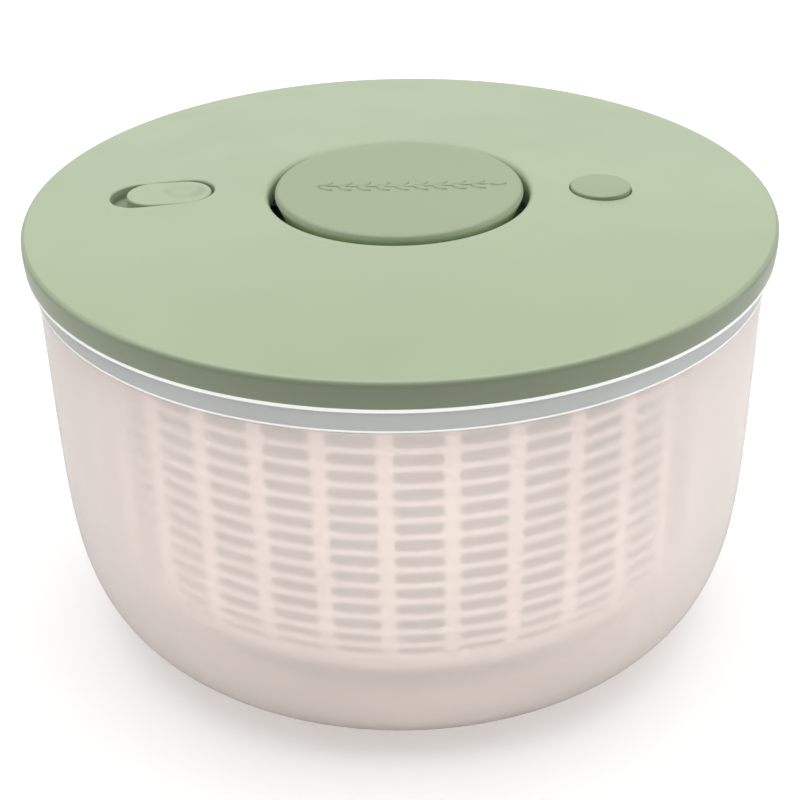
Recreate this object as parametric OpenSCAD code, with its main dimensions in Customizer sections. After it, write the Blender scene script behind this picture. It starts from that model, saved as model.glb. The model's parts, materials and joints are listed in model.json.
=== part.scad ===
// Salad spinner: a frosted bowl, a slotted basket that turns on a pin in the bowl's floor, and
// a lid with a push-down pump knob, a slider that locks the knob down and a brake button.
// Millimetres, +Z up, origin on the table under the middle of the bowl.
// The lock slider lies towards -X and the brake button towards +X. The knob is locked down.

/* [Whole spinner] */
// Height of the lid's upper edge above the table
lid_edge_z = 155.5; // [154:0.5:158]
// Widest diameter of the lid
lid_d = 266; // [265.4:0.2:268]
// Rise of the lid's crown over its edge
lid_dome = 4; // [3.5:0.25:4.5]

/* [Bowl] */
// Outer diameter of the bowl just under the lid
bowl_d = 259.2; // [257:0.2:259.6]
// Diameter of the bowl's flat underside
bowl_base_d = 180; // [176:1:188]
// Wall thickness of the bowl
bowl_wall = 2.8; // [2.6:0.1:3]
// How upright the bowl's side stands
side_power = 6.5; // [5.5:0.5:8]
// How full the bowl's lower corner is
corner_power = 2.5; // [2.2:0.1:3]

/* [Basket] */
// Outer diameter of the basket's wall at the top
basket_d = 238; // [234:1:239]
// Number of upright ribs, and of slot columns between them
rib_count = 36; // [24:1:40]
// Turn of the ribs from the line through the knob and the brake button
rib_turn = -2; // [-5:0.5:5]
// Width of an upright rib
rib_w = 5; // [4:0.5:7]
// Number of slot rows
row_count = 14; // [6:1:14]
// Distance from one slot row to the next
row_pitch = 6.3; // [5.6:0.1:6.3]
// Height of a slot
slot_h = 4.2; // [3:0.1:4.6]

/* [Knob] */
// Diameter of the knob's top
knob_d = 88.5; // [86:0.5:90]
// Height that the knob's edge stands over the lid when it is down
knob_proud = 1.5; // [1:0.25:2]
// How far the knob rises when it is unlocked
knob_travel = 32; // [24:1:32]
// Height that the knob rises for one turn of the spindle
spindle_lead = 20; // [16:1:24]

/* [Lock slider] */
// Distance of the slot's middle to the left of the knob's axis
slot_x = 85; // [84.4:0.2:85.6]
// Distance of the slot's middle behind the line through the knob and the brake button
slot_y = 1.8; // [1.4:0.2:2.2]
// Angle of the slot to that line
slot_angle = 6.75; // [6:0.25:7.5]
// Length of the slot in the cover
slot_l = 37.3; // [37:0.1:37.6]
// Length of the slider
slider_l = 30.4; // [30:0.1:30.6]

/* [Brake button] */
// Distance of the button's middle from the knob's axis
button_x = 71.8; // [70.8:0.2:73]
// Diameter of the button
button_d = 21.4; // [20.4:0.1:22]
// How far the button goes down
button_travel = 2.5; // [1.5:0.1:2.5]

/* [Hidden] */
$fn = 96;

// Colours
sage = "#B9C6A9";
frosted = "#E6D8D2";
clear_grey = "#C4CBCB";
white_nylon = "#ECEAE4";
soft_rubber = "#B8B4B0";
steel = "#B4B7BA";

// Clearances: a running fit, a loose gap between moving pieces, a flat face gap
run_fit = 0.05;
loose = 0.3;
face_gap = 0.1;

// Screws: the rings they stand in, the small size, the large size and the bosses they bite into
knob_screw_ring = 25;
ring_screw_ring = 32;
hub_screw_ring = 40;
housing_screw_ring = 52.6;
lid_screw_ring = 112;
small_shank_r = 1.2;
small_hole_r = 1.3;
small_head_r = 2.6;
small_head_h = 1.4;
shank_r = 1.5;
hole_r = 1.8;
head_r = 2.8;
head_h = 1.5;
screw_boss_r = 3.5;

// Height of a cut that goes right through its part
through = 60;

// Lid levels and radii, from the lid's upper edge down
lid_r = lid_d / 2;
band_h = 9;
cover_wall = 2.2;
crease_r = lid_r - 0.7;
band_z = lid_edge_z - band_h;
flange_z = band_z - 1;
plate_top_z = flange_z + 2;
plate_hole_r = 40.3;
skirt_h = 8.4;
skirt_z = flange_z - skirt_h;
skirt_gap = 0.8;
skirt_wall = 1.7;

// Bowl
bowl_r = bowl_d / 2;
bowl_base_r = bowl_base_d / 2;
foot_z = 0.6;
floor_z = foot_z + bowl_wall;
shoulder_z = skirt_z - 0.5;
rim_z = flange_z - 2.5;
rim_r = bowl_r - 1.4;
rim_inner_r = bowl_r - bowl_wall;
curve_step = 3;
grip_in_r = bowl_base_r - 14;
grip_out_r = bowl_base_r - 4;
grip_top_z = 2.2;

// Pivot of the basket
pin_r = 3;
pin_seat_z = 5;
pin_tip_z = 20;
boss_top_z = 13;
boss_r = 9;
cup_r = 5;
cup_wall_z = 2.5;

// Basket
basket_r = basket_d / 2;
basket_wall = 2;
basket_corner_r = 40;
basket_z = 17;
basket_floor_z = basket_z + basket_wall;
basket_top_z = 138.2;
basket_rim_r = basket_r + 2.5;
basket_rim_h = 2.2;
hub_r = 8.5;
hub_low_z = boss_top_z + 1.2;
hub_top_z = 25.5;
floor_slot_l = 13;
floor_slot_w = 4;
floor_slot_pitch = 18;
first_row_z = 126.2;
lug_count = 3;
lug_w = 12.6;
lug_z = 133.8;
lug_gap = 0.7;

// Drive disc, with its well round the pump housing
disc_z = basket_top_z + loose;
disc_h = 2;
disc_top_z = disc_z + disc_h;
well_r = 46;
well_bore_r = 44;
well_low_z = 94.6;
well_lip_r = 36;
well_lip_h = 2.4;
dog_count = 6;
dog_h = 2;
dog_root = 0.5;
dog_gap = 0.6;
dog_in_r = 9;
dog_out_r = 20;
dog_w = 5;
hub_plate_h = 2.4;

// Pump housing, below the lid's plate
housing_z = 104;
housing_floor_h = 3;
housing_floor_z = housing_z + housing_floor_h;
housing_bore_r = 38.2;
housing_r = 40.2;
housing_top_z = plate_top_z + 1;
housing_flange_r = 58;
housing_flange_h = 2.3;
groove_depth = 1;
groove_w = 8.6;
groove_top_z = flange_z;
ring_low_z = housing_z - 1.4;
ring_top_z = housing_z + 2.6;

// Spindle
spindle_r = 5;
collar_r = 7;
bush_r = 6.5;
bush_top_z = housing_floor_z + 1.5;
spindle_low_z = 99.2;
twist_low_z = bush_top_z + face_gap + 1.4;
twist_top_z = 153;
bar_w = 10.4;
bar_t = 5;
bar_edge = 1;
nut_gap = 0.3;
nut_r = 9.5;
nut_z = 112;
nut_h = 8;

// Knob
knob_r = knob_d / 2;
lid_top_z = lid_edge_z + lid_dome;
knob_top_z = lid_top_z + knob_proud;
knob_low_z = plate_top_z + 1.7;
knob_edge = 1.8;
knob_dish = 0.7;
knob_wall = 2.2;
knob_lean = 23;
throat_r = 46.5;
throat_edge = 2.2;
carrier_r = housing_bore_r - loose;
carrier_z = 110;
carrier_top_z = knob_low_z - 2.2;
carrier_wall = 1.8;
tube_r = 12;
tube_bore_r = 6.2;
key_h = 3;

// Slider, bolt and tray
slot_w = 21.4;
slider_w = 20.2;
slider_gap = 0.6;
slider_inner_gap = 1;
slider_rest = (slot_l - slider_l) / 2 - slider_inner_gap;
slider_move = slot_l - slider_l - slider_inner_gap - slider_gap;
tray_z = 152.6;
tray_wall = 1.6;
slider_z = tray_z + loose;
foot_l = 10;
foot_w = 6;
bolt_z = plate_top_z + loose;
bolt_h = 1.8;
bolt_head_h = 0.9;
bolt_w = 10;
tongue_h = 1.2;
tongue_w = 8;
tongue_tip_x = 47.2;
tongue_step_x = 27.5;
tongue_z = bolt_z + bolt_h + tongue_h;

// Brake
button_r = button_d / 2;
button_gap = 0.3;
button_proud = 1.5;
stem_r = 3;
pad_r = 7;
pad_h = 2;

// Height of the lid's crown at radius r
function dome_z(r) = lid_edge_z + lid_dome * (1 - pow(r / crease_r, 2));

// Points on an arc about [x, z], from angle a to angle b
function arc_points(x, z, r, a, b, n = 8) =
    [for (i = [0:n]) let (t = a + (b - a) * i / n) [x + r * cos(t), z + r * sin(t)]];

// Points up a bowl-shaped side: flat at the bottom, a full corner, then almost upright
function side_points(low_r, high_r, low_z, high_z) =
    [for (a = [0:curve_step:90])
        [low_r + (high_r - low_r) * pow(sin(a), 2 / corner_power),
         low_z + (high_z - low_z) * (1 - pow(cos(a), 2 / side_power))]];

function backwards(list) = [for (i = [len(list) - 1:-1:0]) list[i]];

// Copies its children n times about the Z axis
module around(n, first = 0) {
    for (i = [0:n - 1]) rotate(first + i * 360 / n) children();
}

// An upright cylinder that starts at height z
module cylinder_from(r, z, h) {
    translate([0, 0, z]) cylinder(r = r, h = h);
}

// A ring with a flat top and bottom
module ring(outer_r, inner_r, z, h) {
    translate([0, 0, z]) difference() {
        cylinder(r = outer_r, h = h);
        translate([0, 0, -1]) cylinder(r = inner_r, h = h + 2);
    }
}

// A solid with straight sides and round ends, length l along X and width w
module stadium(l, w, z, h) {
    translate([0, 0, z]) linear_extrude(h) {
        square([l - w, w], center = true);
        for (s = [-1, 1]) translate([s * (l - w) / 2, 0]) circle(d = w);
    }
}

// A pan-head screw that points up, its head's underside at height z
module screw_up(x, z, shank_r, length, head_r, head_h) {
    translate([x, 0, z - head_h]) cylinder(r = head_r, h = head_h);
    translate([x, 0, z]) cylinder(r = shank_r, h = length);
}

// A screw's hole, x from the Z axis, that starts at height z
module screw_hole(x, z, r, depth = through) {
    translate([x, 0, z]) cylinder(r = r, h = depth, $fn = 24);
}

// A round wire wound into a compression spring between two heights
module coil_spring(mean_r, wire_r, low_z, high_z, turns) {
    ring_sides = 6;
    steps = turns * 16;
    rise = (high_z - low_z - 2 * wire_r) / steps;
    points = [for (i = [0:steps]) for (j = [0:ring_sides - 1])
        let (a = i * 360 / 16, b = j * 360 / ring_sides, r = mean_r + wire_r * cos(b))
        [r * cos(a), r * sin(a), low_z + wire_r + i * rise + wire_r * sin(b)]];
    sides = [for (i = [0:steps - 1]) for (j = [0:ring_sides - 1])
        let (k = (j + 1) % ring_sides, p = i * ring_sides, q = p + ring_sides)
        [p + j, q + j, q + k, p + k]];
    first_end = [for (j = [0:ring_sides - 1]) j];
    last_end = [for (j = [ring_sides - 1:-1:0]) steps * ring_sides + j];
    polyhedron(points, concat(sides, [first_end], [last_end]), convexity = 10);
}

// Face dogs in a ring, with a root in the plate that carries them
module dogs(z) {
    h = dog_h + dog_root;
    intersection() {
        ring(dog_out_r, dog_in_r, z, h);
        around(dog_count) translate([0, -dog_w / 2, z]) cube([dog_out_r + 1, dog_w, h]);
    }
}

// The lid's frame turned so that +X runs along the slot, towards the knob
module along_slot() {
    translate([-slot_x, slot_y, 0]) rotate(slot_angle) children();
}

// Room for the lock's tongue in the lid's throat and the knob's wall, with a gap at its sides
module tongue_window(gap) {
    translate([tongue_step_x + 3, -tongue_w / 2 - gap, tongue_z - 0.5])
        cube([tongue_tip_x - tongue_step_x + 1, tongue_w + 2 * gap, tongue_h + 1]);
}

module bowl() {
    outside = side_points(bowl_base_r, bowl_r, foot_z, shoulder_z);
    inside = side_points(bowl_base_r - bowl_wall, rim_inner_r, floor_z, shoulder_z);
    underside = [[0, foot_z], [grip_in_r, foot_z], [grip_in_r, grip_top_z],
        [grip_out_r, grip_top_z], [grip_out_r, foot_z]];
    rim = [[rim_r, shoulder_z], [rim_r, rim_z - 0.4], [rim_r - 0.4, rim_z], [rim_inner_r, rim_z]];
    boss = [[boss_r + 7, floor_z], [boss_r + 1, floor_z + 4], [boss_r, boss_top_z],
        [pin_r, boss_top_z], [pin_r, pin_seat_z], [0, pin_seat_z]];
    color(frosted) rotate_extrude()
        polygon(concat(underside, outside, rim, backwards(inside), boss));
}

module base_grip_ring() {
    color(soft_rubber) ring(grip_out_r, grip_in_r, 0, grip_top_z);
}

module bowl_pivot_pin() {
    color(steel) {
        translate([0, 0, pin_seat_z]) cylinder(r = pin_r, h = pin_tip_z - pin_r - pin_seat_z);
        translate([0, 0, pin_tip_z - pin_r]) sphere(r = pin_r);
    }
}

module basket_pivot_cup() {
    cup_top_z = pin_tip_z + face_gap + cup_wall_z;
    color(white_nylon) difference() {
        translate([0, 0, hub_low_z]) cylinder(r = cup_r, h = cup_top_z - hub_low_z);
        translate([0, 0, hub_low_z - 1])
            cylinder(r = pin_r + run_fit, h = pin_tip_z + face_gap - hub_low_z + 1);
    }
}

module basket() {
    bore_top_z = pin_tip_z + cup_wall_z + 2 * face_gap;
    corner_x = basket_r - basket_corner_r;
    corner_z = basket_z + basket_corner_r;
    rim_low_z = basket_top_z - basket_rim_h;
    hub_under = [[0, bore_top_z], [cup_r + run_fit, bore_top_z], [cup_r + run_fit, hub_low_z],
        [hub_r, hub_low_z], [hub_r, basket_z]];
    outside = arc_points(corner_x, corner_z, basket_corner_r, -90, 0);
    rim = [[basket_r, rim_low_z], [basket_rim_r, rim_low_z], [basket_rim_r, basket_top_z],
        [basket_r - basket_wall, basket_top_z]];
    inside = arc_points(corner_x, corner_z, basket_corner_r - basket_wall, 0, -90);
    hub_over = [[hub_r + 2, basket_floor_z], [hub_r, hub_top_z], [0, hub_top_z]];
    column_w = PI * basket_d / rib_count - rib_w;
    color(white_nylon) difference() {
        rotate_extrude()
            polygon(concat(hub_under, outside, rim, inside, hub_over));
        around(rib_count, rib_turn + 180 / rib_count) for (i = [0:row_count - 1])
            translate([basket_r - 19, -column_w / 2, first_row_z - i * row_pitch - slot_h / 2])
                cube([30, column_w, slot_h]);
        for (k = [0:2]) around(12 + 6 * k)
            translate([22 + floor_slot_pitch * k, -floor_slot_w / 2, basket_z - 1])
                cube([floor_slot_l, floor_slot_w, through / 10]);
        around(lug_count, 30) translate([basket_r - 6, -lug_w / 2 - lug_gap, lug_z - lug_gap])
            cube([12, lug_w + 2 * lug_gap, 10]);
    }
}

module drive_disc() {
    ridge_z = ring_top_z + face_gap;
    color(clear_grey) {
        difference() {
            cylinder_from(basket_r + 1.5, disc_z, disc_h);
            translate([0, 0, disc_z - 1]) cylinder(r = well_bore_r + 0.5, h = disc_h + 2);
        }
        ring(well_r, well_bore_r, well_low_z, disc_top_z - well_low_z);
        ring(well_bore_r + 0.5, housing_r + 0.8, ridge_z, 2);
        difference() {
            ring(well_bore_r + 0.5, well_lip_r, well_low_z, well_lip_h);
            around(4, 45) screw_hole(hub_screw_ring, well_low_z - 1, small_shank_r);
        }
        intersection() {
            ring(basket_r - 0.2, basket_r - basket_wall + 0.2, lug_z, disc_z - lug_z + 0.5);
            around(lug_count, 30) translate([basket_r - 6, -lug_w / 2, lug_z])
                cube([12, lug_w, 10]);
        }
    }
}

module drive_hub() {
    plate_z = well_low_z - hub_plate_h;
    color(white_nylon) {
        difference() {
            cylinder_from(well_bore_r, plate_z, hub_plate_h);
            around(4, 45) screw_hole(hub_screw_ring, plate_z - 1, small_hole_r, hub_plate_h + 2);
        }
        dogs(well_low_z - dog_root);
    }
}

module hub_screws() {
    color(steel) around(4, 45)
        screw_up(hub_screw_ring, well_low_z - hub_plate_h, small_shank_r, hub_plate_h + well_lip_h,
            small_head_r, small_head_h);
}

module slide_ring() {
    color(white_nylon) difference() {
        union() {
            ring(well_bore_r - 0.08, housing_r + run_fit, ring_low_z, ring_top_z - ring_low_z);
            ring(housing_r + 0.5, 28, ring_low_z, housing_z - ring_low_z);
        }
        around(3) screw_hole(ring_screw_ring, ring_low_z - 1, small_hole_r);
    }
}

module ring_screws() {
    color(steel) around(3)
        screw_up(ring_screw_ring, ring_low_z, small_shank_r, housing_floor_z - ring_low_z,
            small_head_r, small_head_h);
}

// Cross-section of the twisted bar
module bar_section() {
    x = bar_w / 2;
    y = bar_t / 2;
    polygon([[x, y - bar_edge], [x - bar_edge, y], [bar_edge - x, y], [-x, y - bar_edge],
        [-x, bar_edge - y], [bar_edge - x, -y], [x - bar_edge, -y], [x, bar_edge - y]]);
}

// A bar whose section turns once in every spindle_lead of height
module twisted_bar(low_z, high_z) {
    h = high_z - low_z;
    translate([0, 0, low_z]) rotate(360 * low_z / spindle_lead)
        linear_extrude(h, twist = -360 * h / spindle_lead, slices = 2 * ceil(h), $fn = 8)
            bar_section();
}

module drive_spindle() {
    color(steel) {
        cylinder_from(spindle_r, spindle_low_z, bush_top_z + face_gap - spindle_low_z);
        cylinder_from(collar_r, bush_top_z + face_gap, 1.4);
        twisted_bar(twist_low_z, twist_top_z);
    }
}

module clutch_driver() {
    plate_z = well_low_z + 2 * dog_h + dog_gap;
    color(white_nylon) {
        ring(dog_out_r + 1, spindle_r + run_fit, plate_z, housing_z - 0.9 - plate_z);
        rotate(180 / dog_count) dogs(plate_z - dog_h);
    }
}

module clutch_screw() {
    color(steel) {
        cylinder_from(6.5, spindle_low_z - 1.6, 1.6);
    }
}

module spindle_bush() {
    color(white_nylon) {
        ring(bush_r, spindle_r + run_fit, housing_z, bush_top_z - housing_z);
        ring(bush_r + 2.5, bush_r - 0.5, housing_floor_z, bush_top_z - housing_floor_z);
    }
}

module thrust_washer() {
    color(steel) ring(9, spindle_r + loose, housing_z - 0.8, 0.8);
}

module pump_housing() {
    color(white_nylon) difference() {
        union() {
            cylinder_from(housing_r, housing_z, housing_top_z - housing_z);
            cylinder_from(housing_flange_r, flange_z - housing_flange_h, housing_flange_h);
        }
        cylinder_from(housing_bore_r, housing_floor_z, through);
        cylinder_from(bush_r, housing_z - 1, 10);
        intersection() {
            cylinder_from(housing_bore_r + groove_depth, housing_floor_z,
                groove_top_z - housing_floor_z);
            around(3, 60) translate([housing_bore_r - 8, -groove_w / 2, housing_floor_z])
                cube([20, groove_w, through]);
        }
        around(3) screw_hole(ring_screw_ring, housing_z - 1, small_shank_r, housing_floor_h + 2);
        around(4, 45) screw_hole(housing_screw_ring, housing_z, shank_r + 0.1);
    }
}

module housing_screws() {
    color(steel) around(4, 45)
        screw_up(housing_screw_ring, flange_z - housing_flange_h, shank_r, 7, head_r, head_h);
}

module lid_base() {
    skirt_in_r = bowl_r - skirt_gap;
    skirt_out_r = skirt_in_r + skirt_wall;
    section = [[skirt_in_r, skirt_z + 0.4], [skirt_in_r + 0.4, skirt_z], [skirt_out_r - 0.4, skirt_z],
        [skirt_out_r, skirt_z + 0.4], [skirt_out_r, flange_z], [lid_r - 0.3, flange_z],
        [lid_r - 0.3, band_z], [lid_r - 2.8, band_z], [lid_r - 2.8, plate_top_z],
        [plate_hole_r, plate_top_z], [plate_hole_r, flange_z], [skirt_in_r, flange_z]];
    color(clear_grey) difference() {
        union() {
            rotate_extrude() polygon(section);
            around(4, 45) translate([housing_screw_ring, 0, 0])
                cylinder_from(screw_boss_r, plate_top_z - 1, 6);
            translate([button_x, 0, 0]) cylinder_from(stem_r + 2, plate_top_z - 1, 2.6);
        }
        around(4, 45) screw_hole(housing_screw_ring, flange_z - 1, shank_r, 6);
        around(6, 30) screw_hole(lid_screw_ring, flange_z - 1, hole_r);
        translate([button_x, 0, 0]) cylinder_from(stem_r + run_fit, flange_z - 1, through);
    }
}

module lid_seal() {
    seal_z = rim_z + face_gap;
    color(soft_rubber) ring(bowl_r - skirt_gap - 0.2, bowl_r - 4, seal_z, flange_z - seal_z);
}

module lid_cover() {
    band_in_r = lid_r - 2.4;
    widest_z = band_z + band_h / 2;
    band_curve = 0.015;
    edge = 1;
    edge_r = crease_r - edge + 0.35;
    lip_r = throat_r + throat_edge;
    throat_low_z = plate_top_z + 0.6;
    tube_low_z = plate_top_z + 2;
    lip = arc_points(lip_r, dome_z(lip_r) - throat_edge, throat_edge, 180, 90);
    crown = [for (i = [1:15]) let (r = lip_r + (edge_r - lip_r) * i / 16) [r, dome_z(r)]];
    corner = arc_points(edge_r, lid_edge_z - edge + 0.04, edge, 86, 8);
    band = [for (i = [8:-1:0]) let (z = band_z + (band_h - 1.2) * i / 8)
        [lid_r - band_curve * pow(z - widest_z, 2), z]];
    under = [for (i = [15:-1:0]) let (r = lip_r + (edge_r - 2 - lip_r) * i / 15)
        [r, dome_z(r) - cover_wall]];
    section = concat([[throat_r, throat_low_z]], lip, crown, corner, band,
        [[band_in_r, band_z], [band_in_r, band_z + 5]], under, [[lip_r, throat_low_z]]);
    color(sage) difference() {
        union() {
            rotate_extrude() polygon(section);
            along_slot() stadium(slot_l + 2 * tray_wall, slot_w + 2 * tray_wall, tray_z - tray_wall,
                dome_z(slot_x) - 1.2 - tray_z + tray_wall);
            around(6, 30) translate([lid_screw_ring, 0, 0]) cylinder_from(screw_boss_r, plate_top_z, 8);
            translate([button_x, 0, 0])
                cylinder_from(button_r + button_gap + 1.5, tube_low_z, dome_z(button_x) - 1 - tube_low_z);
        }
        along_slot() stadium(slot_l, slot_w, tray_z, 20);
        along_slot() translate([slider_rest - slider_move / 2, 0, 0])
            stadium(foot_l + slider_move + 2 * loose, foot_w + 2 * loose, tray_z - 5, 10);
        along_slot() tongue_window(1);
        around(6, 30) screw_hole(lid_screw_ring, plate_top_z - 1, shank_r, 6);
        translate([button_x, 0, 0]) cylinder_from(button_r + button_gap, plate_top_z, through);
        cylinder_from(throat_r - 0.001, plate_top_z, through);
    }
}

module lid_screws() {
    color(steel) around(6, 30) screw_up(lid_screw_ring, flange_z, shank_r, 6.5, head_r, head_h);
}

// Radius of the knob's side, a cone that leans in below the round edge
function knob_side_r(z) = knob_r - knob_edge + knob_edge / cos(knob_lean)
    - (knob_top_z - knob_edge - z) * tan(knob_lean);

module knob_cap() {
    dish_r = knob_r - 4;
    edge_z = knob_top_z - knob_edge;
    skin_z = knob_top_z - knob_dish - knob_wall - 0.4;
    top = [for (i = [0:8]) let (r = dish_r * i / 8)
        [r, knob_top_z - knob_dish * (1 - pow(r / dish_r, 2))]];
    edge = arc_points(knob_r - knob_edge, edge_z, knob_edge, 90, -knob_lean);
    side = [[knob_side_r(knob_low_z), knob_low_z], [knob_side_r(knob_low_z) - knob_wall, knob_low_z],
        [knob_side_r(skin_z - 1.5) - knob_wall, skin_z - 1.5],
        [knob_side_r(skin_z) - knob_wall - 1.5, skin_z], [0, skin_z]];
    color(sage) difference() {
        union() {
            rotate_extrude() polygon(concat(top, edge, side));
            around(3) translate([knob_screw_ring, 0, 0])
                cylinder_from(screw_boss_r, carrier_top_z, skin_z - carrier_top_z + 0.5);
        }
        around(3) screw_hole(knob_screw_ring, carrier_top_z - 1, shank_r, 8);
        along_slot() tongue_window(2);
    }
}

module knob_carrier() {
    disc_low_z = carrier_top_z - 2;
    color(white_nylon) difference() {
        union() {
            ring(carrier_r, carrier_r - carrier_wall, carrier_z, carrier_top_z - carrier_z);
            cylinder_from(carrier_r - 0.5, disc_low_z, 2);
            cylinder_from(tube_r, nut_z, carrier_top_z - nut_z);
            intersection() {
                ring(housing_bore_r + groove_depth - loose, carrier_r - 0.5, carrier_z, key_h);
                around(3, 60) translate([carrier_r - 8, loose - groove_w / 2, carrier_z])
                    cube([20, groove_w - 2 * loose, key_h]);
            }
        }
        cylinder_from(tube_bore_r, housing_z, through);
        cylinder_from(nut_r, nut_z - 1, nut_h + 1.2);
        around(3) screw_hole(knob_screw_ring, disc_low_z - 1, hole_r);
    }
}

module knob_screws() {
    color(steel) around(3) screw_up(knob_screw_ring, carrier_top_z - 2, shank_r, 8, head_r, head_h);
}

module helix_nut() {
    pin_z = nut_z + nut_h / 2;
    color(white_nylon) {
        ring(nut_r, bar_w / 2 + nut_gap, nut_z, nut_h);
        rotate(360 * pin_z / spindle_lead) for (side = [-90, 90]) rotate(side)
            translate([bar_t / 2 + 3 * nut_gap, 0, pin_z]) rotate([0, 90, 0])
                cylinder(r = 1, h = (bar_w - bar_t) / 2 + 0.5);
    }
}

module return_spring() {
    color(steel) coil_spring(16, 0.7, housing_floor_z + face_gap, carrier_top_z - 2 - face_gap, 8);
}

module brake_button() {
    top_z = dome_z(button_x) + button_proud;
    low_z = plate_top_z + 4.7;
    rim = arc_points(button_r - 0.6, top_z - 0.6, 0.6, 90, 0, 4);
    color(sage) translate([button_x, 0, 0]) difference() {
        union() {
            rotate_extrude() polygon(concat([[0, top_z]], rim,
                [[button_r, low_z], [button_r - 1.6, low_z], [button_r - 1.6, top_z - 1.8],
                [0, top_z - 1.8]]));
            cylinder_from(4.4, low_z, top_z - 1.5 - low_z);
        }
        cylinder_from(stem_r, low_z - 1, top_z - 2.4 - low_z + 1);
    }
}

module brake_stem() {
    color(white_nylon) translate([button_x, 0, 0])
        cylinder_from(stem_r, flange_z - 1.2, dome_z(button_x) + button_proud - 2.4 - flange_z + 1.2);
}

module brake_pad() {
    pad_z = flange_z - 0.2 - pad_h;
    color(soft_rubber) translate([button_x, 0, 0]) difference() {
        cylinder_from(pad_r, pad_z, pad_h);
        cylinder_from(stem_r, flange_z - 1.2, 5);
    }
}

module brake_spring() {
    top_z = dome_z(button_x) + button_proud - 1.8 - face_gap;
    color(steel) translate([button_x, 0, 0]) coil_spring(7, 0.5, plate_top_z + face_gap, top_z, 4);
}

module lock_slider() {
    top_z = dome_z(slot_x);
    dish_r = 16;
    color(sage) along_slot() translate([slider_rest, 0, 0]) difference() {
        union() {
            stadium(slider_l, slider_w, slider_z, top_z - slider_z);
            stadium(foot_l, foot_w, bolt_z + bolt_h, slider_z - bolt_z - bolt_h + 1);
        }
        for (s = [-1.5, 0, 1.5]) translate([5.6 + s, 0, top_z + dish_r - 1.3]) sphere(r = dish_r);
        screw_hole(0, bolt_z, small_shank_r, 6);
    }
}

module lock_bolt() {
    bolt_end_x = slot_x - throat_r - slider_rest - 3;
    color(white_nylon) along_slot() translate([slider_rest, 0, 0]) difference() {
        translate([-7, -bolt_w / 2, bolt_z]) cube([bolt_end_x + 7, bolt_w, bolt_h]);
        screw_hole(0, bolt_z - 1, small_hole_r, 6);
        screw_hole(0, bolt_z - 1, small_head_r + 0.1, bolt_head_h + 1.05);
    }
}

module lock_tongue() {
    color(steel) along_slot() translate([0, -tongue_w / 2, 0]) {
        translate([10, 0, tongue_z - tongue_h])
            cube([tongue_step_x + tongue_h - 10, tongue_w, tongue_h]);
        translate([tongue_step_x, 0, tongue_z - tongue_h]) cube([tongue_h, tongue_w, 2 * tongue_h]);
        translate([tongue_step_x, 0, tongue_z])
            cube([tongue_tip_x - tongue_step_x, tongue_w, tongue_h]);
    }
}

module lock_screw() {
    color(steel) along_slot() translate([slider_rest, 0, 0])
        screw_up(0, bolt_z + bolt_head_h, small_shank_r, 4, small_head_r, bolt_head_h);
}

bowl();
base_grip_ring();
bowl_pivot_pin();
basket_pivot_cup();
basket();
drive_disc();
drive_hub();
hub_screws();
slide_ring();
ring_screws();
drive_spindle();
clutch_driver();
clutch_screw();
spindle_bush();
thrust_washer();
pump_housing();
housing_screws();
lid_base();
lid_seal();
lid_cover();
lid_screws();
knob_cap();
knob_carrier();
knob_screws();
helix_nut();
return_spring();
brake_button();
brake_stem();
brake_pad();
brake_spring();
lock_slider();
lock_bolt();
lock_tongue();
lock_screw();
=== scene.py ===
"""Looks of the salad spinner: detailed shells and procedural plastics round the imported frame."""

import json
import math

import bmesh
import bpy
from mathutils import Matrix, Vector
from mathutils.geometry import delaunay_2d_cdt


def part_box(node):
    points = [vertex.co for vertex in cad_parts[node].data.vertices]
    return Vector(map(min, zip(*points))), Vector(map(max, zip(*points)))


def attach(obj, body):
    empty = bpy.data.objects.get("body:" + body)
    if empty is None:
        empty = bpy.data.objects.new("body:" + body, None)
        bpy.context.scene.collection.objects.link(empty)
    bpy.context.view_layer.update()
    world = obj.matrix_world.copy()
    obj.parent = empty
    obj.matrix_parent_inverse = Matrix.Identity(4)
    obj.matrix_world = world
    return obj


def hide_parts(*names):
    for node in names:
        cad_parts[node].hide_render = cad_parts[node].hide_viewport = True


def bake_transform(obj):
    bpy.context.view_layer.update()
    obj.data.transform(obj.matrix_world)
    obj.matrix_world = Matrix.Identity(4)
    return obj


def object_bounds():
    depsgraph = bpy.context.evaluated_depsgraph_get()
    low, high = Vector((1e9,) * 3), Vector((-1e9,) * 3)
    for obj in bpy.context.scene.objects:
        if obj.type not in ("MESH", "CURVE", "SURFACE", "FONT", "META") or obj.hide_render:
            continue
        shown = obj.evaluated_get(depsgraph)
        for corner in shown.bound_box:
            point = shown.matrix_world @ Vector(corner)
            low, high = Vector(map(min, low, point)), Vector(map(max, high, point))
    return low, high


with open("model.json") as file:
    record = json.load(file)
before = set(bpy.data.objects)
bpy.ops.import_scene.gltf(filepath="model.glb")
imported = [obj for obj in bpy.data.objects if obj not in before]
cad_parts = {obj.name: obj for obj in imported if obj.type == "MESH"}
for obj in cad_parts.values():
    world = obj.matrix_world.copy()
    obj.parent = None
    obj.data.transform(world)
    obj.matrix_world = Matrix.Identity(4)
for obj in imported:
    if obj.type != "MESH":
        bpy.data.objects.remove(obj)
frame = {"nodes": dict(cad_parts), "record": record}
cad_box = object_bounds()
nodes = frame["nodes"]
mm = 0.001


# ---------------------------------------------------------------- camera


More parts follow.
